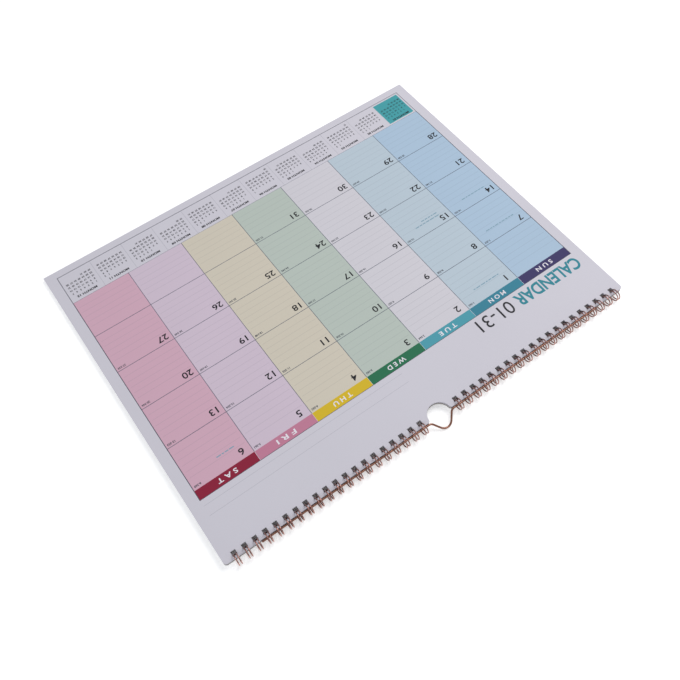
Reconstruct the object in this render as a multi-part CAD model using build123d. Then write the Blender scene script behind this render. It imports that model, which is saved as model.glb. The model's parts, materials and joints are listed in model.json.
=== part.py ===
from build123d import *
import os
from math import asin, atan2, cos, degrees, hypot, radians, sin

# Wall calendar on a closed twin-loop wire binding, lying on its back with its front cover turned
# behind it. +X runs to the reader's right, +Y towards the spine, +Z up, and the origin is under
# the middle of the whole part, at the level it rests on.
# Shapes are drawn about the ring axis, which runs along X, and are moved to their place last.

# Sheets
page_width = 374.65
page_height = 292.1
pages_thickness = 1.9              # twelve leaves, bound as one block
board_thickness = 0.5
cover_thickness = 0.3
spine_corner_radius = 2.5

# Twin-loop wire, three loops to the inch
loop_pitch = 25.4 / 3
loops_per_comb = 20
missing_middle_loops = 3           # left out where the hanger's hook is
loop_wire = 0.95
loop_bore = 7.9
pair_spacing = 2.2                 # between the two wires of one loop
root_bend_radius = 1.0
tip_gap = 0.5                      # from the line of the bridges to the loops' closed tips

# Punched holes and the thumb notch
hole_size = 4.0
notch_mouth_radius = 2.5

# Hanger wire
hanger_wire = 1.6
hanger_length = 316.0
hook_width = 19.8                  # where the centre lines of its sloping sides meet the arms
hook_top_width = 6.3               # where they meet the level of its top, before rounding
hook_height = 9.2                  # centre line of its top above the arms
hook_root_radius = 4.0
hook_top_radius = 6.0

# Clearances
edge_clearance = 0.2               # sheets' spine edges to the hanger, all the way round
seam_clearance = 0.15              # above and below the bridges between pages and board
cover_clearance = 0.1              # board to the cover turned behind it
far_clearance = 0.05               # pages' far edge to the board that it rests on
hole_clearance = 0.2               # inner edge of the holes to the loops, at the outermost sheet
notch_clearance = 0.46             # hook to the sides of the notch as they pass each other
notch_end_clearance = 1.5          # hook's top to the bottom of the notch
rest_clearance = 0.05              # hook's top to the surface below it

# Worked out: the loops
loop_radius = (loop_bore + loop_wire) / 2
axis_height = loop_radius + loop_wire / 2
half_pair = pair_spacing / 2
first_loop = (missing_middle_loops + 1) / 2
loop_places = [(first_loop + i) * loop_pitch for i in range(loops_per_comb)]

# Worked out: heights of the sheets' faces from the ring axis, before they are tilted
pages_bottom = -0.6
pages_top = pages_bottom + pages_thickness
bridge_height = pages_bottom - seam_clearance - loop_wire / 2
board_top = bridge_height - loop_wire / 2 - seam_clearance
board_bottom = board_top - board_thickness
cover_top = board_bottom - cover_clearance
cover_bottom = cover_top - cover_thickness

# Worked out: places in the sheets' own plane, measured from the ring axis
spine_edge = hanger_wire / 2 + edge_clearance
outermost_face = max(-cover_bottom, pages_top)
hole_inner_edge = (loop_bore**2 / 4 - outermost_face**2) ** 0.5 - hole_clearance
hole_centre = hole_inner_edge + hole_size / 2
hook_lean = (hook_width - hook_top_width) / 2 / hook_height
hook_half_across = hanger_wire / 2 * hypot(1, hook_lean)
mouth_depth = spine_edge + notch_mouth_radius / 2
notch_radius = hook_width / 2 - hook_lean * mouth_depth + hook_half_across + notch_clearance
notch_bottom = hook_height + hanger_wire / 2 + notch_end_clearance
notch_centre = notch_bottom - notch_radius

# The board and the cover slope down from the rings until the cover's far edge lies on the surface.
# The pages slope a little more, so that their far edge comes down on the board.
far_edge = spine_edge + page_height
board_tilt = degrees(asin(axis_height / hypot(far_edge, -cover_bottom)) - atan2(-cover_bottom, far_edge))
pages_tilt = board_tilt + degrees(asin((pages_bottom - board_top - far_clearance) / far_edge))

# The hook drops about the ring axis until its top is just over the surface.
hook_drop = degrees(asin((axis_height - hanger_wire / 2 - rest_clearance) / hook_height))

# The origin is in the middle of the part's length along Y.
hook_reach = hook_height * cos(radians(hook_drop)) + hanger_wire / 2
far_reach = far_edge * cos(radians(pages_tilt)) + pages_top * sin(radians(pages_tilt))
axis_place = Pos(0, (far_reach - hook_reach) / 2, axis_height)


def sheet(bottom, thickness, tilt):
    """One sheet or block of sheets: outline, thumb notch and a row of square holes."""
    outline = Pos(0, -spine_edge - page_height / 2) * Rectangle(page_width, page_height)
    outline = fillet(outline.vertices().group_by(Axis.Y)[-1], spine_corner_radius)
    outline -= Pos(0, -notch_centre) * Circle(notch_radius)
    mouth = [v for v in outline.vertices() if abs(v.X) < notch_radius and v.Y > -notch_centre - notch_radius / 2]
    outline = fillet(mouth, notch_mouth_radius)
    holes = [
        Pos(side * place, -hole_centre) * Rectangle(hole_size, hole_size)
        for side in (-1, 1)
        for place in loop_places
    ]
    outline -= holes
    block = Pos(0, 0, bottom) * extrude(outline, thickness)
    return Rot(tilt, 0, 0) * block


def on_ring(x, angle):
    """A point on the loops' centre line, its angle measured from +Y towards +Z."""
    return Vector(x, loop_radius * cos(radians(angle)), loop_radius * sin(radians(angle)))


def along_ring(angle):
    """The direction round the ring of a growing angle."""
    return Vector(0, -sin(radians(angle)), cos(radians(angle)))


# The legs leave the bridges by quarter bends, so they start one bend radius short of that line.
root_angle = 180 + degrees(
    asin((-bridge_height) / hypot(loop_radius, root_bend_radius)) - atan2(root_bend_radius, loop_radius)
)
bridge_angle = root_angle + degrees(atan2(root_bend_radius, loop_radius))
tip_angle = bridge_angle + degrees((tip_gap + half_pair) / loop_radius) - 360


def leg(x, start, end):
    return Edge.make_three_point_arc(on_ring(x, start), on_ring(x, (start + end) / 2), on_ring(x, end))


def tip(x):
    """The U-turn that joins the two wires of a loop."""
    crown = on_ring(x, tip_angle) - along_ring(tip_angle) * half_pair
    return Edge.make_three_point_arc(on_ring(x - half_pair, tip_angle), crown, on_ring(x + half_pair, tip_angle))


def bridge(left_leg, right_leg):
    """Quarter bend, straight bridge and quarter bend between two neighbouring loops."""
    along = along_ring(root_angle)
    sideways = Vector(1, 0, 0)
    left_centre = on_ring(left_leg + root_bend_radius, root_angle)
    right_centre = on_ring(right_leg - root_bend_radius, root_angle)
    left_end = left_centre + along * root_bend_radius
    right_end = right_centre + along * root_bend_radius
    half_turn = root_bend_radius * sin(radians(45))
    left_middle = left_centre + (along - sideways) * half_turn
    right_middle = right_centre + (along + sideways) * half_turn
    return [
        Edge.make_three_point_arc(on_ring(left_leg, root_angle), left_middle, left_end),
        Edge.make_line(left_end, right_end),
        Edge.make_three_point_arc(right_end, right_middle, on_ring(right_leg, root_angle)),
    ]


def comb(side):
    """One continuous wire bent into a row of closed double loops, on one side of the notch."""
    places = sorted(side * place for place in loop_places)
    path = []
    for number, place in enumerate(places):
        path.append(leg(place - half_pair, root_angle, tip_angle))
        path.append(tip(place))
        path.append(leg(place + half_pair, tip_angle, root_angle))
        if number + 1 < len(places):
            path += bridge(place + half_pair, places[number + 1] - half_pair)
    start = Plane(origin=on_ring(places[0] - half_pair, root_angle), z_dir=along_ring(root_angle))
    return sweep(start * Circle(loop_wire / 2), path=Wire(path))


def hanger():
    """A straight wire through all the loops, with an arched hook in the middle of it."""
    arm_end = hanger_length / 2
    foot = hook_width / 2
    top = hook_top_width / 2
    route = FilletPolyline(
        (-arm_end, 0),
        (-foot, 0),
        (-top, hook_height),
        (top, hook_height),
        (foot, 0),
        (arm_end, 0),
        radius=[hook_root_radius, hook_top_radius, hook_top_radius, hook_root_radius],
    )
    section = Plane(origin=(-arm_end, 0, 0), z_dir=(1, 0, 0)) * Circle(hanger_wire / 2)
    return Rot(-hook_drop, 0, 0) * sweep(section, path=route)


parts = {
    "calendar_pages": sheet(pages_bottom, pages_thickness, pages_tilt),
    "backing_board": sheet(board_bottom, board_thickness, board_tilt),
    "front_cover": sheet(cover_bottom, cover_thickness, board_tilt),
    "twin_loop_left": comb(-1),
    "twin_loop_right": comb(1),
    "hanger_wire": hanger(),
}

os.makedirs("parts", exist_ok=True)
for name, shape in parts.items():
    export_step(axis_place * shape, f"parts/{name}.step")

print(f"ring axis y {axis_place.position.Y:.3f} z {axis_height:.3f}")
print(f"board tilt {board_tilt:.4f}, pages tilt {pages_tilt:.4f}, hook drop {hook_drop:.3f}")
print(f"tip angle {tip_angle:.2f}, root angle {root_angle:.2f}")
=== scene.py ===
import bmesh
import bpy
import json
import math
import random
from mathutils import Matrix, Vector


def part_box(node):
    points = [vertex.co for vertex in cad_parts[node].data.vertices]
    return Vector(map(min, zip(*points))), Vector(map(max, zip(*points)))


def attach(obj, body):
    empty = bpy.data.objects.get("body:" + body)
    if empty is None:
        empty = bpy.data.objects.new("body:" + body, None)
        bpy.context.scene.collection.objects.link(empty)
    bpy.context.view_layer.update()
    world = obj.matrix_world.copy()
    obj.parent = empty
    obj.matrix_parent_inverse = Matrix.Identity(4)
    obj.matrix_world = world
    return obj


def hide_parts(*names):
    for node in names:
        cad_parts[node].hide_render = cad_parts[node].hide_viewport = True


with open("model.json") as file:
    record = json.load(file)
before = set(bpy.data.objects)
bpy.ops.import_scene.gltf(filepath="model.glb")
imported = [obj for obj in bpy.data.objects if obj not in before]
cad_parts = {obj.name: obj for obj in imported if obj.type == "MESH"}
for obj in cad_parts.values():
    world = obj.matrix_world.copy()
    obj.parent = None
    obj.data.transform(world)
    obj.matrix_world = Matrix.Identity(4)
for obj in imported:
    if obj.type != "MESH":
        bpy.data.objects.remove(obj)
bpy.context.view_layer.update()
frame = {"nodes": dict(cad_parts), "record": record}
random.seed(12)
millimetre = 0.001

# places taken from the frame: the ring axis and how far the pages slope down from it
ringAxis = Vector(frame["record"]["behaviour"]["joints"][0]["pos_m"])
pagesLow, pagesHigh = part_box("calendar_pages")
pageSize = {"height": 292.1, "thickness": 1.9, "bottom": -0.6}      # in mm, bottom from the ring axis
pageRise = (pagesHigh.z - pagesLow.z) / millimetre - pageSize["thickness"]
pageTilt = math.asin(pageRise / pageSize["height"])
pageTop = pageSize["bottom"] + pageSize["thickness"]
pagePlace = Matrix.Translation(ringAxis) @ Matrix.Rotation(pageTilt, 4, "X") @ Matrix.Scale(millimetre, 4)
print("frame loaded, page slope in degrees:", round(math.degrees(pageTilt), 3))

# the print, in mm on the page: x from its middle, y from the ring axis, down the page is negative
layout = {
    "gridLeft": -177.8,
    "columns": 7,
    "columnWidth": 50.8,
    "tabsTop": -50.2,
    "tabHeight": 8.2,
    "rows": 5,
    "rowHeight": 39.4,
    "stripHeight": 30.5,
    "months": 12,
}
gridRight = layout["gridLeft"] + layout["columns"] * layout["columnWidth"]
cellsTop = layout["tabsTop"] - layout["tabHeight"]
stripTop = cellsTop - layout["rows"] * layout["rowHeight"]
stripBottom = stripTop - layout["stripHeight"]
monthWidth = (gridRight - layout["gridLeft"]) / layout["months"]

cellTints = [
    (168, 191, 213), (182, 197, 209), (205, 203, 211), (181, 192, 185),
    (205, 198, 183), (204, 189, 205), (206, 168, 186),
]
tabColours = [
    (60, 54, 100), (56, 128, 150), (76, 154, 170), (38, 110, 78),
    (210, 180, 42), (190, 124, 150), (138, 32, 58),
]
paperColour = (204, 202, 212)
printColours = {"line": (84, 90, 106), "frame": (78, 80, 92), "ink": (34, 34, 40), "title": (44, 130, 146),
                "monthBlock": (68, 156, 164), "note": (128, 160, 178), "code": (72, 76, 86)}
lightLevel = (0.865, 0.875, 0.885)      # how bright a white surface is under the lights


def linear(colour):
    # a display colour from 0 to 255 as the surface colour that shows it under the lights
    steps = [part / 255 for part in colour]
    flat = [s / 12.92 if s <= 0.04045 else ((s + 0.055) / 1.055) ** 2.4 for s in steps]
    return tuple(min(f / level, 1.0) for f, level in zip(flat, lightLevel)) + (1.0,)


# node helpers: a value may be a number, a colour or another node's socket
def feed(tree, socket, value):
    if isinstance(value, bpy.types.NodeSocket):
        tree.links.new(value, socket)
    else:
        socket.default_value = value


def addMath(tree, operation, first, second=0.0, third=0.0):
    node = tree.nodes.new("ShaderNodeMath")
    node.operation = operation
    for socket, value in zip(node.inputs, (first, second, third)):
        feed(tree, socket, value)
    return node.outputs[0]


def between(tree, value, low, high):
    over = addMath(tree, "GREATER_THAN", value, low)
    under = addMath(tree, "LESS_THAN", value, high)
    return addMath(tree, "MULTIPLY", over, under)


def both(tree, *masks):
    # where all the masks meet
    result = masks[0]
    for mask in masks[1:]:
        result = addMath(tree, "MULTIPLY", result, mask)
    return result


def nearEvery(tree, value, start, pitch, halfWidth):
    # lines of a width at every pitch from a start
    shifted = addMath(tree, "SUBTRACT", value, start)
    distance = addMath(tree, "PINGPONG", shifted, pitch / 2)
    return addMath(tree, "LESS_THAN", distance, halfWidth)


def mixColour(tree, mask, under, over, blend="MIX"):
    node = tree.nodes.new("ShaderNodeMix")
    node.data_type = "RGBA"
    node.blend_type = blend
    feed(tree, node.inputs[0], mask)
    feed(tree, node.inputs[6], under)
    feed(tree, node.inputs[7], over)
    return node.outputs[2]


def overlay(tree, mask, strength, colour, ink):
    # one of the print colours laid thinly over what is there
    return mixColour(tree, addMath(tree, "MULTIPLY", mask, strength), colour, linear(printColours[ink]))


def steppedRamp(tree, factor, colours):
    node = tree.nodes.new("ShaderNodeValToRGB")
    ramp = node.color_ramp
    ramp.interpolation = "CONSTANT"
    ramp.elements[0].color = colours[0]
    ramp.elements[1].position = 1 / len(colours)
    ramp.elements[1].color = colours[1]
    for number, colour in enumerate(colours[2:], start=2):
        ramp.elements.new(number / len(colours)).color = colour
    tree.links.new(factor, node.inputs[0])
    return node.outputs[0]


def newGroup(name, inputs, outputs):
    group = bpy.data.node_groups.new(name, "ShaderNodeTree")
    for socketName, kind, value in inputs:
        socket = group.interface.new_socket(name=socketName, in_out="INPUT", socket_type=kind)
        if value is not None:
            socket.default_value = value
    for socketName, kind in outputs:
        group.interface.new_socket(name=socketName, in_out="OUTPUT", socket_type=kind)
    return group, group.nodes.new("NodeGroupInput"), group.nodes.new("NodeGroupOutput")


def addNoise(tree, vector, scale, detail, roughness=0.5):
    node = tree.nodes.new("ShaderNodeTexNoise")
    node.inputs["Detail"].default_value = detail
    node.inputs["Roughness"].default_value = roughness
    tree.links.new(vector, node.inputs["Vector"])
    feed(tree, node.inputs["Scale"], scale)
    return node.outputs[0]


grain = {"fibreScale": 2600.0, "fibreStretch": (0.35, 1.0, 1.0), "fibreDetail": 3.0, "fibreRoughness": 0.65,
         "cloudScale": 14.0, "cloudDetail": 2.0, "contrast": 0.04, "depth": 0.00003}
wear = {"patchScale": 320.0, "patchDetail": 4.0, "patchRoughness": 0.6, "patchRange": (0.38, 0.68),
        "streakScale": 2400.0, "streakDetail": 2.0, "depth": 0.00002}


def buildPaperGrain():
    # fibres and cloudiness of paper and board: a shade to multiply by, and a height for bump
    inputs = [("Vector", "NodeSocketVector", None), ("Fibre Scale", "NodeSocketFloat", grain["fibreScale"]),
              ("Cloud Scale", "NodeSocketFloat", grain["cloudScale"]),
              ("Contrast", "NodeSocketFloat", grain["contrast"])]
    outputs = [("Shade", "NodeSocketColor"), ("Height", "NodeSocketFloat")]
    group, source, target = newGroup("paperGrain", inputs, outputs)
    stretch = group.nodes.new("ShaderNodeMapping")
    stretch.inputs["Scale"].default_value = grain["fibreStretch"]
    group.links.new(source.outputs["Vector"], stretch.inputs["Vector"])
    fibres = addNoise(group, stretch.outputs[0], source.outputs["Fibre Scale"], grain["fibreDetail"],
                      grain["fibreRoughness"])
    clouds = addNoise(group, source.outputs["Vector"], source.outputs["Cloud Scale"], grain["cloudDetail"])
    uneven = addMath(group, "ADD", fibres, clouds)
    centred = addMath(group, "SUBTRACT", uneven, 1.0)
    shade = addMath(group, "MULTIPLY_ADD", centred, source.outputs["Contrast"], 1.0)
    combine = group.nodes.new("ShaderNodeCombineColor")
    for socket in combine.inputs[:3]:
        group.links.new(shade, socket)
    group.links.new(combine.outputs[0], target.inputs["Shade"])
    group.links.new(fibres, target.inputs["Height"])
    return group


def buildWireWear():
    # drawn streaks and small dull patches on coated wire: a mask for colour and roughness, and a height
    inputs = [("Vector", "NodeSocketVector", None), ("Patch Scale", "NodeSocketFloat", wear["patchScale"]),
              ("Streak Scale", "NodeSocketFloat", wear["streakScale"])]
    outputs = [("Patches", "NodeSocketFloat"), ("Height", "NodeSocketFloat")]
    group, source, target = newGroup("wireWear", inputs, outputs)
    place = source.outputs["Vector"]
    patches = addNoise(group, place, source.outputs["Patch Scale"], wear["patchDetail"],
                       wear["patchRoughness"])
    spread = group.nodes.new("ShaderNodeMapRange")
    spread.inputs["From Min"].default_value, spread.inputs["From Max"].default_value = wear["patchRange"]
    group.links.new(patches, spread.inputs["Value"])
    streaks = addNoise(group, place, source.outputs["Streak Scale"], wear["streakDetail"])
    group.links.new(spread.outputs[0], target.inputs["Patches"])
    group.links.new(streaks, target.inputs["Height"])
    return group


paperGrain = buildPaperGrain()
wireWear = buildWireWear()


def newMaterial(name, roughness, metallic=0.0, shine=0.5):
    material = bpy.data.materials.new(name)
    material.use_nodes = True
    shader = material.node_tree.nodes["Principled BSDF"]
    shader.inputs["Roughness"].default_value = roughness
    shader.inputs["Metallic"].default_value = metallic
    shader.inputs["Specular IOR Level"].default_value = shine
    return material, material.node_tree, shader


def objectPlace(tree):
    return tree.nodes.new("ShaderNodeTexCoord").outputs["Object"]


def addBump(tree, shader, height, strength, distance):
    bump = tree.nodes.new("ShaderNodeBump")
    bump.inputs["Strength"].default_value = strength
    bump.inputs["Distance"].default_value = distance
    tree.links.new(height, bump.inputs["Height"])
    tree.links.new(bump.outputs[0], shader.inputs["Normal"])


def addGrain(tree, shader, colour, place, contrast=0.05, bump=0.25, fibreScale=grain["fibreScale"]):
    node = tree.nodes.new("ShaderNodeGroup")
    node.node_tree = paperGrain
    node.inputs["Contrast"].default_value = contrast
    node.inputs["Fibre Scale"].default_value = fibreScale
    tree.links.new(place, node.inputs["Vector"])
    shaded = mixColour(tree, 1.0, colour, node.outputs["Shade"], "MULTIPLY")
    tree.links.new(shaded, shader.inputs["Base Color"])
    addBump(tree, shader, node.outputs["Height"], bump, grain["depth"])


def paperMaterial(name, colour, contrast=0.05, bump=0.25, roughness=0.62, fibreScale=grain["fibreScale"]):
    material, tree, shader = newMaterial(name, roughness)
    addGrain(tree, shader, linear(colour), objectPlace(tree), contrast, bump, fibreScale)
    return material


# the open leaf's print, in mm: half widths of lines, their strengths, and how far they keep clear of others
writing = {"top": 9.0, "foot": 2.5, "side": 2.2, "first": 10.4, "pitch": 5.5, "half": 0.22, "strength": 0.15}
noteLines = {"left": 2.0, "low": 3.0, "high": 16.0, "first": 5.2, "pitch": 8.4, "half": 0.14,
             "strength": 0.3}
monthBlock = {"left": 1.7, "right": 0.6, "foot": 1.7, "top": 1.5}
ruling = {"half": 0.25, "strength": 0.9, "underTabs": 1.0, "tabGapHalf": 0.13,
          "monthHalf": 0.13, "monthStrength": 0.4,
          "frameOutside": 0.35, "frameInside": 0.15, "frameInsideTop": 0.05}
inkDepth = 0.02                         # the print ends this far below the leaf's upper face


def printedMaterial():
    # the open leaf: soft columns, day tabs, writing lines, frame and the strip of small months
    material, tree, shader = newMaterial("printedPaper", roughness=0.58, shine=0.2)
    place = objectPlace(tree)
    flatten = tree.nodes.new("ShaderNodeMapping")
    flatten.vector_type = "TEXTURE"
    flatten.inputs["Location"].default_value = ringAxis
    flatten.inputs["Rotation"].default_value = (pageTilt, 0.0, 0.0)
    flatten.inputs["Scale"].default_value = (millimetre,) * 3
    tree.links.new(place, flatten.inputs["Vector"])
    split = tree.nodes.new("ShaderNodeSeparateXYZ")
    tree.links.new(flatten.outputs[0], split.inputs[0])
    across, down, height = split.outputs

    left, width, rowHeight = layout["gridLeft"], layout["columnWidth"], layout["rowHeight"]
    inGrid = between(tree, across, left, gridRight)
    inTabs = both(tree, inGrid, between(tree, down, cellsTop, layout["tabsTop"]))
    inCells = both(tree, inGrid, between(tree, down, stripTop, cellsTop))
    inStrip = both(tree, inGrid, between(tree, down, stripBottom, stripTop))
    column = addMath(tree, "FLOOR", addMath(tree, "MULTIPLY_ADD", across, 1 / width, -left / width))
    share = addMath(tree, "MULTIPLY_ADD", column, 1 / layout["columns"], 0.5 / layout["columns"])
    tints = steppedRamp(tree, share, [linear(c) for c in cellTints])
    tabs = steppedRamp(tree, share, [linear(c) for c in tabColours])

    colour = mixColour(tree, inCells, linear(paperColour), tints)
    colour = mixColour(tree, inTabs, colour, tabs)

    # writing lines inside each cell, clear of its number and its edges
    fromCellTop = addMath(tree, "FLOORED_MODULO", addMath(tree, "SUBTRACT", cellsTop, down), rowHeight)
    fromCellSide = addMath(tree, "FLOORED_MODULO", addMath(tree, "SUBTRACT", across, left), width)
    written = both(tree, inCells, between(tree, fromCellTop, writing["top"], rowHeight - writing["foot"]),
                   between(tree, fromCellSide, writing["side"], width - writing["side"]),
                   nearEvery(tree, fromCellTop, writing["first"], writing["pitch"], writing["half"]))
    colour = overlay(tree, written, writing["strength"], colour, "line")

    # note lines above the tabs
    tabsTop = layout["tabsTop"]
    noteFirst = tabsTop + noteLines["first"]
    noteBand = both(tree, between(tree, across, noteLines["left"], gridRight),
                    between(tree, down, tabsTop + noteLines["low"], tabsTop + noteLines["high"]),
                    nearEvery(tree, down, noteFirst, noteLines["pitch"], noteLines["half"]))
    colour = overlay(tree, noteBand, noteLines["strength"], colour, "line")

    # the first small month is a solid block, and thin rules part the rest
    blockRight = left + monthWidth - monthBlock["right"]
    firstMonth = both(tree, between(tree, across, left + monthBlock["left"], blockRight),
                      between(tree, down, stripBottom + monthBlock["foot"], stripTop - monthBlock["top"]))
    colour = mixColour(tree, firstMonth, colour, linear(printColours["monthBlock"]))
    monthRules = both(tree, inStrip, between(tree, across, left + monthWidth, gridRight),
                      nearEvery(tree, across, left, monthWidth, ruling["monthHalf"]))
    colour = overlay(tree, monthRules, ruling["monthStrength"], colour, "line")

    # grid rules and the frame round everything
    upright = both(tree, inCells, nearEvery(tree, across, left, width, ruling["half"]))
    level = both(tree, inCells, nearEvery(tree, down, cellsTop, rowHeight, ruling["half"]),
                 addMath(tree, "LESS_THAN", down, cellsTop - ruling["underTabs"]))
    rules = addMath(tree, "MAXIMUM", upright, level)
    colour = overlay(tree, rules, ruling["strength"], colour, "line")
    tabGaps = both(tree, inTabs, nearEvery(tree, across, left, width, ruling["tabGapHalf"]))
    colour = mixColour(tree, tabGaps, colour, linear(paperColour))
    outside, inside = ruling["frameOutside"], ruling["frameInside"]
    outer = both(tree, between(tree, across, left - outside, gridRight + outside),
                 between(tree, down, stripBottom - outside, tabsTop + outside))
    inner = both(tree, between(tree, across, left + inside, gridRight - inside),
                 between(tree, down, stripBottom + inside, tabsTop - ruling["frameInsideTop"]))
    frameLine = addMath(tree, "SUBTRACT", outer, inner)
    colour = mixColour(tree, frameLine, colour, linear(printColours["frame"]))

    # only the upper face is printed
    upper = addMath(tree, "GREATER_THAN", height, pageTop - inkDepth)
    colour = mixColour(tree, upper, linear(paperColour), colour)
    addGrain(tree, shader, colour, place)
    return material


def inkMaterial(name, colour, roughness=0.5):
    # print ink: slightly uneven, with the paper's fibres showing through
    material, tree, shader = newMaterial(name, roughness, shine=0.2)
    addGrain(tree, shader, linear(colour), objectPlace(tree), contrast=0.12, bump=0.2, fibreScale=3200.0)
    return material


# painted shade on the loops where they pass into the punched holes, in metres from the ring axis, and how
# the wires' coating shines
coatingAndHoleShade = {"holeShadowFrom": 0.0022, "holeShadowTo": 0.0036, "holeShadowDarkening": 0.5, "unevenness": 0.16,
           "weight": 0.8, "roughness": 0.08, "streaks": 0.15}


def wireMaterial(name, colour, dull, roughness, paintedHoleShade=0.0):
    # coated steel wire: rose gold with duller patches, fine drawn streaks, and painted shade that darkens it
    # inside the holes
    material, tree, shader = newMaterial(name, roughness, metallic=1.0)
    node = tree.nodes.new("ShaderNodeGroup")
    node.node_tree = wireWear
    place = objectPlace(tree)
    tree.links.new(place, node.inputs["Vector"])
    split = tree.nodes.new("ShaderNodeSeparateXYZ")
    tree.links.new(place, split.inputs[0])
    # painted shade: the wire darkens smoothly as it runs from the ring axis into the holes
    ramp = tree.nodes.new("ShaderNodeMapRange")
    ramp.interpolation_type = "SMOOTHSTEP"
    ramp.inputs["From Min"].default_value = ringAxis.y - coatingAndHoleShade["holeShadowFrom"]
    ramp.inputs["From Max"].default_value = ringAxis.y - coatingAndHoleShade["holeShadowTo"]
    ramp.inputs["To Max"].default_value = paintedHoleShade
    tree.links.new(split.outputs[1], ramp.inputs["Value"])
    fresh = mixColour(tree, node.outputs["Patches"], colour, dull)
    holeShaded = tuple(part * coatingAndHoleShade["holeShadowDarkening"] for part in dull[:3]) + (1.0,)
    tree.links.new(mixColour(tree, ramp.outputs[0], fresh, holeShaded), shader.inputs["Base Color"])
    uneven = addMath(tree, "MULTIPLY_ADD", node.outputs["Patches"], coatingAndHoleShade["unevenness"], roughness)
    tree.links.new(uneven, shader.inputs["Roughness"])
    shader.inputs["Coat Weight"].default_value = coatingAndHoleShade["weight"]
    shader.inputs["Coat Roughness"].default_value = coatingAndHoleShade["roughness"]
    addBump(tree, shader, node.outputs["Height"], coatingAndHoleShade["streaks"], wear["depth"])
    return material


# pieces
def newPiece(name, mesh, material, body):
    piece = bpy.data.objects.new(name, mesh)
    bpy.context.scene.collection.objects.link(piece)
    mesh.materials.clear()
    mesh.materials.append(material)
    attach(piece, body)
    return piece


# slip is how far a leaf may lie to either side, and trim makes the leaves below a little smaller
leafStack = {"leaves": 12, "gap": 0.02, "slip": (0.14, 0.07), "trim": (0.9992, 0.9997),
             "colour": (196, 195, 204), "contrast": 0.1, "merge": 0.000001}


def leafMesh(name, numbers):
    # each leaf is the whole block's outline and holes at one leaf's thickness, laid a little unevenly
    solid = bmesh.new()
    solid.from_mesh(frame["nodes"]["calendar_pages"].data)
    bmesh.ops.remove_doubles(solid, verts=solid.verts, dist=leafStack["merge"])
    bmesh.ops.transform(solid, matrix=pagePlace.inverted(), verts=solid.verts)
    block = bpy.data.meshes.new("block")
    solid.to_mesh(block)
    solid.free()
    pitch = pageSize["thickness"] / leafStack["leaves"]
    stack = bmesh.new()
    for number in numbers:
        isTop = number == leafStack["leaves"] - 1
        slip = (0.0, 0.0) if isTop else leafStack["slip"]
        trim = (1.0, 1.0) if isTop else leafStack["trim"]
        thickness = (pitch - (0.0 if isTop else leafStack["gap"])) / pageSize["thickness"]
        level = pageSize["bottom"] + number * pitch
        shift = Vector([random.uniform(-reach, reach) for reach in slip] + [level])
        leaf = block.copy()
        leaf.transform(Matrix.Translation((0, 0, -pageSize["bottom"])))
        leaf.transform(Matrix.Diagonal((*trim, thickness, 1.0)))
        leaf.transform(Matrix.Translation(shift))
        stack.from_mesh(leaf)
        bpy.data.meshes.remove(leaf)
    bmesh.ops.transform(stack, matrix=pagePlace, verts=stack.verts)
    mesh = bpy.data.meshes.new(name)
    stack.to_mesh(mesh)
    stack.free()
    bpy.data.meshes.remove(block)
    return mesh


lastLeaf = leafStack["leaves"] - 1
openLeafMesh = leafMesh("openLeaf", [lastLeaf])
openLeaf = newPiece("openLeaf", openLeafMesh, printedMaterial(), "pages")
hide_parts("calendar_pages")
lowerMesh = leafMesh("leavesBelow", range(lastLeaf))
leafPaper = paperMaterial("leafPaper", leafStack["colour"], contrast=leafStack["contrast"])
leavesBelow = newPiece("leavesBelow", lowerMesh, leafPaper, "pages")
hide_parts("calendar_pages")
print("leaves made:", leafStack["leaves"])

# lettering stands a little proud of the page, and text taller than large has rounder curves
glyphFinish = {"raised": 0.02, "sunk": 0.01, "curveSteps": 3, "largeSteps": 10, "large": 5.0}
glyphDepth = glyphFinish["raised"] + glyphFinish["sunk"]
glyphMiddle = pageTop + (glyphFinish["raised"] - glyphFinish["sunk"]) / 2
glyphStore = {}


def glyphMesh(text, weight, steps=glyphFinish["curveSteps"]):
    # lettering from the built-in font as a mesh of unit capital height, its lower left at the origin
    key = (text, weight, steps)
    if key not in glyphStore:
        curve = bpy.data.curves.new("lettering", "FONT")
        curve.body = text
        curve.offset = weight
        curve.resolution_u = steps
        curve.extrude = 0.5
        holder = bpy.data.objects.new("lettering", curve)
        bpy.context.scene.collection.objects.link(holder)
        bpy.context.view_layer.update()
        ready = holder.evaluated_get(bpy.context.evaluated_depsgraph_get())
        mesh = bpy.data.meshes.new_from_object(ready)
        bpy.data.objects.remove(holder)
        bpy.data.curves.remove(curve)
        lows = [min(v.co[axis] for v in mesh.vertices) for axis in (0, 1)]
        tops = [max(v.co[axis] for v in mesh.vertices) for axis in (0, 1)]
        tall = tops[1] - lows[1]
        mesh.transform(Matrix.Translation((-lows[0], -lows[1], 0.0)))
        mesh.transform(Matrix.Diagonal((1 / tall, 1 / tall, 1.0, 1.0)))
        glyphStore[key] = (mesh, (tops[0] - lows[0]) / tall)
    return glyphStore[key]


def stamp(target, text, x, y, height, align="left", weight=0.0, width=None):
    # prints text on the page, its lower edge at y, drawn out or narrowed to a width if one is given
    steps = glyphFinish["largeSteps"] if height > glyphFinish["large"] else glyphFinish["curveSteps"]
    mesh, ratio = glyphMesh(text, weight, steps)
    span = width or ratio * height
    start = {"left": x, "centre": x - span / 2, "right": x - span}[align]
    copy = mesh.copy()
    copy.transform(Matrix.Diagonal((span / ratio, height, glyphDepth, 1.0)))
    copy.transform(Matrix.Translation((start, y, glyphMiddle)))
    target.from_mesh(copy)
    bpy.data.meshes.remove(copy)


def finishPrint(name, target, material):
    bmesh.ops.transform(target, matrix=pagePlace, verts=target.verts)
    mesh = bpy.data.meshes.new(name)
    target.to_mesh(mesh)
    target.free()
    return newPiece(name, mesh, material, "pages")


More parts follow.
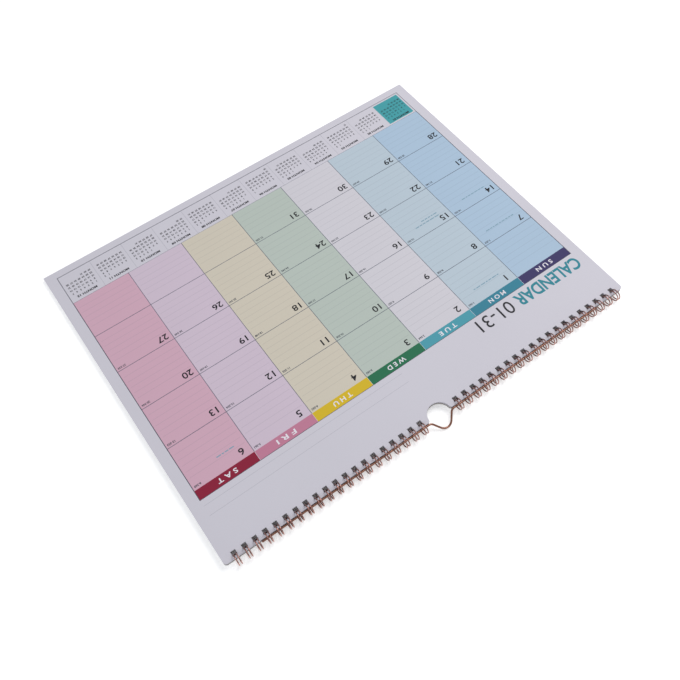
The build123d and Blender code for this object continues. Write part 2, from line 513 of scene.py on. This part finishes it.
darkInk = inkMaterial("darkInk", printColours["ink"])
paleInk = inkMaterial("paleInk", (226, 224, 232))
tealInk = inkMaterial("tealInk", printColours["title"])
noteInk = inkMaterial("noteInk", printColours["note"])
codeInk = inkMaterial("codeInk", printColours["code"])

title = {"left": -177.5, "base": 3.4, "height": 11.6, "word": "Calendar", "wordWidth": 67.0,
         "number": "01-31", "numberWidth": 35.0, "gap": 4.5, "weight": 0.026}
titleBase = layout["tabsTop"] + title["base"]
words = bmesh.new()
stamp(words, title["word"].upper(), title["left"], titleBase, title["height"], weight=title["weight"],
      width=title["wordWidth"])
finishPrint("titleWord", words, tealInk)
numbers = bmesh.new()
numberLeft = title["left"] + title["wordWidth"] + title["gap"]
stamp(numbers, title["number"], numberLeft, titleBase, title["height"], width=title["numberWidth"])
finishPrint("titleNumber", numbers, darkInk)

tabText = {"height": 3.9, "weight": 0.02, "width": 16.5,
           "names": ["Sun", "Mon", "Tue", "Wed", "Thu", "Fri", "Sat"]}
tabs = bmesh.new()
for column, dayName in enumerate(tabText["names"]):
    middle = layout["gridLeft"] + (column + 0.5) * layout["columnWidth"]
    base = cellsTop + (layout["tabHeight"] - tabText["height"]) / 2
    spaced = " ".join(dayName.upper())
    stamp(tabs, spaced, middle, base, tabText["height"], "centre", tabText["weight"], tabText["width"])
finishPrint("dayNames", tabs, paleInk)

dates = {"height": 5.7, "widen": 1.16, "middle": 7.6, "fromTop": 2.8, "firstColumn": 1, "days": 31,
         "weight": 0.016}
codes = {"height": 1.9, "weight": 0.03, "fromSide": 1.6, "fromTop": 1.6, "yearDays": 366}
datePrint = bmesh.new()
codePrint = bmesh.new()
for day in range(1, dates["days"] + 1):
    row, column = divmod(day - 1 + dates["firstColumn"], layout["columns"])
    cellLeft = layout["gridLeft"] + column * layout["columnWidth"]
    cellTop = cellsTop - row * layout["rowHeight"]
    dateWidth = glyphMesh(str(day), dates["weight"])[1] * dates["height"] * dates["widen"]
    dateBase = cellTop - dates["fromTop"] - dates["height"]
    stamp(datePrint, str(day), cellLeft + dates["middle"], dateBase, dates["height"], "centre",
          dates["weight"], dateWidth)
    codeText = f"{day}-{codes['yearDays'] - day}"
    codeRight = cellLeft + layout["columnWidth"] - codes["fromSide"]
    codeBase = cellTop - codes["fromTop"] - codes["height"]
    stamp(codePrint, codeText, codeRight, codeBase, codes["height"], "right", codes["weight"])
finishPrint("dateNumbers", datePrint, darkInk)
finishPrint("dayCodes", codePrint, codeInk)
print("dates printed:", dates["days"])

smallMonths = {"titleHeight": 2.3, "titleWidth": 18.0, "titleDrop": 4.9, "titleWeight": 0.04,
               "numberHeight": 1.75, "numberWeight": 0.035,
               "firstDrop": 7.6, "linePitch": 3.55, "side": 2.3,
               "firstColumns": [1, 4, 5, 1, 3, 6, 1, 4, 0, 2, 5, 0],
               "lengths": [31, 29, 31, 30, 31, 30, 31, 31, 30, 31, 30, 31]}
columnPitch = (monthWidth - 2 * smallMonths["side"]) / layout["columns"]
monthTitleBase = stripTop - smallMonths["titleDrop"]
monthPrint = bmesh.new()
for month in range(layout["months"]):
    monthLeft = layout["gridLeft"] + month * monthWidth
    monthTitle = f"Month {month + 1:02}".upper()
    stamp(monthPrint, monthTitle, monthLeft + monthWidth / 2, monthTitleBase, smallMonths["titleHeight"],
          "centre", smallMonths["titleWeight"], smallMonths["titleWidth"])
    for day in range(1, smallMonths["lengths"][month] + 1):
        row, column = divmod(day - 1 + smallMonths["firstColumns"][month], layout["columns"])
        drop = smallMonths["firstDrop"] + row * smallMonths["linePitch"] + smallMonths["numberHeight"]
        middle = monthLeft + smallMonths["side"] + (column + 0.5) * columnPitch
        stamp(monthPrint, str(day), middle, stripTop - drop, smallMonths["numberHeight"], "centre",
              smallMonths["numberWeight"])
finishPrint("smallMonths", monthPrint, darkInk)
print("small months printed:", layout["months"])

# short strokes stand for the small notes in some cells: row, column, drop from the cell's top, length
notes = {"height": 0.9, "fromSide": 10.0, "shortest": 1.6, "longest": 4.4, "space": 0.8, "cells": [
    (0, 1, 12.0, 26.0), (1, 0, 11.5, 27.0), (2, 0, 10.5, 24.0),
    (2, 1, 10.0, 22.0), (2, 1, 13.0, 16.0), (0, 6, 12.5, 15.0),
]}
notePrint = bmesh.new()
for row, column, drop, length in notes["cells"]:
    x = layout["gridLeft"] + column * layout["columnWidth"] + notes["fromSide"]
    y = cellsTop - row * layout["rowHeight"] - drop
    end = x + length
    while x < end:
        stroke = random.uniform(notes["shortest"], notes["longest"])
        middle = Matrix.Translation((x + stroke / 2, y, glyphMiddle))
        shape = middle @ Matrix.Diagonal((stroke, notes["height"], glyphDepth, 1.0))
        bmesh.ops.create_cube(notePrint, size=1.0, matrix=shape)
        x += stroke + notes["space"]
finishPrint("noteStrokes", notePrint, noteInk)
print("notes printed:", len(notes["cells"]))


# finishes of the pieces that keep their own shape
def finishNode(node, material):
    for slot in frame["nodes"][node].material_slots:
        slot.material = material


boardLook = {"colour": (176, 173, 166), "contrast": 0.16, "bump": 0.5, "roughness": 0.85,
             "fibreScale": 1500.0}
finishNode("backing_board", paperMaterial("greyBoard", **boardLook))
coverLook = {"colour": (206, 205, 208), "contrast": 0.06, "bump": 0.15, "roughness": 0.42}
finishNode("front_cover", paperMaterial("coverCard", **coverLook))
# the loops carry painted shade inside the holes; the hanger has none
loopLook = {"colour": (0.5, 0.26, 0.22, 1.0), "dull": (0.2, 0.08, 0.065, 1.0), "roughness": 0.16,
            "paintedHoleShade": 0.85}
loopFinish = wireMaterial("roseGoldLoops", **loopLook)
finishNode("twin_loop_left", loopFinish)
finishNode("twin_loop_right", loopFinish)
hangerLook = {"colour": (0.38, 0.175, 0.115, 1.0), "dull": (0.21, 0.09, 0.058, 1.0), "roughness": 0.3}
finishNode("hanger_wire", wireMaterial("roseGoldHanger", **hangerLook))
print("finishes set")

# floor, light and camera
stage = {"floorSize": 40.0, "floorDrop": 0.0004, "floorColour": (0.9, 0.9, 0.9, 1.0), "floorGlow": 0.42,
         "floorRoughness": 0.9, "worldColour": (0.93, 0.96, 1.0, 1.0), "worldStrength": 0.42,
         "underEdge": 0.002, "notchReach": (0.0105, 0.0125), "notchGlow": 0.6}
floorShape = bmesh.new()
bmesh.ops.create_grid(floorShape, x_segments=1, y_segments=1, size=stage["floorSize"] / 2,
                      matrix=Matrix.Translation((0.0, 0.0, -stage["floorDrop"])))
floorMesh = bpy.data.meshes.new("floor")
floorShape.to_mesh(floorMesh)
floorShape.free()
floor = bpy.data.objects.new("floor", floorMesh)
bpy.context.scene.collection.objects.link(floor)
floorMaterial, floorTree, floorShader = newMaterial("paleFloor", stage["floorRoughness"])
floorShader.inputs["Base Color"].default_value = stage["floorColour"]
floorShader.inputs["Emission Color"].default_value = (1.0, 1.0, 1.0, 1.0)

# the floor's glow is kept out from under the sheets, so that the punched holes stay dark
floorPlace = floorTree.nodes.new("ShaderNodeSeparateXYZ")
floorTree.links.new(objectPlace(floorTree), floorPlace.inputs[0])
sideways = addMath(floorTree, "ABSOLUTE", floorPlace.outputs[0])
underSides = addMath(floorTree, "LESS_THAN", sideways, pagesHigh.x - stage["underEdge"])
underLength = between(floorTree, floorPlace.outputs[1], pagesLow.y + stage["underEdge"],
                      pagesHigh.y - stage["underEdge"])
notchAcross = addMath(floorTree, "LESS_THAN", sideways, stage["notchReach"][0])
notchLow = pagesHigh.y - stage["notchReach"][1]
notchFade = floorTree.nodes.new("ShaderNodeMapRange")
notchFade.inputs["From Min"].default_value = notchLow
notchFade.inputs["From Max"].default_value = pagesHigh.y - stage["underEdge"]
notchFade.inputs["To Min"].default_value = stage["notchGlow"]
floorTree.links.new(floorPlace.outputs[1], notchFade.inputs["Value"])
notchDown = addMath(floorTree, "GREATER_THAN", floorPlace.outputs[1], notchLow)
notch = both(floorTree, notchAcross, notchDown, notchFade.outputs[0])
notchShare = addMath(floorTree, "SUBTRACT", 1.0, notch)
under = both(floorTree, underSides, underLength, notchShare)
glow = addMath(floorTree, "MULTIPLY_ADD", under, -stage["floorGlow"], stage["floorGlow"])
floorTree.links.new(glow, floorShader.inputs["Emission Strength"])
floorMesh.materials.append(floorMaterial)

world = bpy.data.worlds.new("softRoom")
world.use_nodes = True
sky = world.node_tree.nodes["Background"]
sky.inputs["Color"].default_value = stage["worldColour"]
sky.inputs["Strength"].default_value = stage["worldStrength"]
bpy.context.scene.world = world

# both lamps point at the origin
lamps = [
    {"name": "keyLight", "at": (-0.75, -0.15, 1.2), "size": 1.0, "power": 9.8, "colour": (1.0, 0.985, 0.97)},
    {"name": "fillLight", "at": (0.9, 0.7, 1.1), "size": 0.8, "power": 2.9, "colour": (0.95, 0.97, 1.0)},
]
for lamp in lamps:
    data = bpy.data.lights.new(lamp["name"], "AREA")
    data.shape = "DISK"
    data.size = lamp["size"]
    data.energy = lamp["power"]
    data.color = lamp["colour"]
    light = bpy.data.objects.new(lamp["name"], data)
    light.location = lamp["at"]
    light.rotation_euler = (-Vector(lamp["at"])).to_track_quat("-Z", "Y").to_euler()
    bpy.context.scene.collection.objects.link(light)

cameraView = {"at": (0.1819, 0.2940, 0.5350), "towards": (0.0222, 0.0439, 0.003), "roll": -3.43,
              "lens": 41.0, "sensor": 36.0, "nearest": 0.01}
cameraData = bpy.data.cameras.new("camera")
cameraData.lens = cameraView["lens"]
cameraData.sensor_width = cameraView["sensor"]
cameraData.clip_start = cameraView["nearest"]
camera = bpy.data.objects.new("camera", cameraData)
sight = Vector(cameraView["towards"]) - Vector(cameraView["at"])
facing = sight.to_track_quat("-Z", "Y").to_matrix().to_4x4()
turn = Matrix.Rotation(math.radians(cameraView["roll"]), 4, "Z")
camera.matrix_world = Matrix.Translation(cameraView["at"]) @ facing @ turn
bpy.context.scene.collection.objects.link(camera)
bpy.context.scene.camera = camera
bpy.context.scene.view_settings.view_transform = "Standard"
print("stage, lights and camera set")
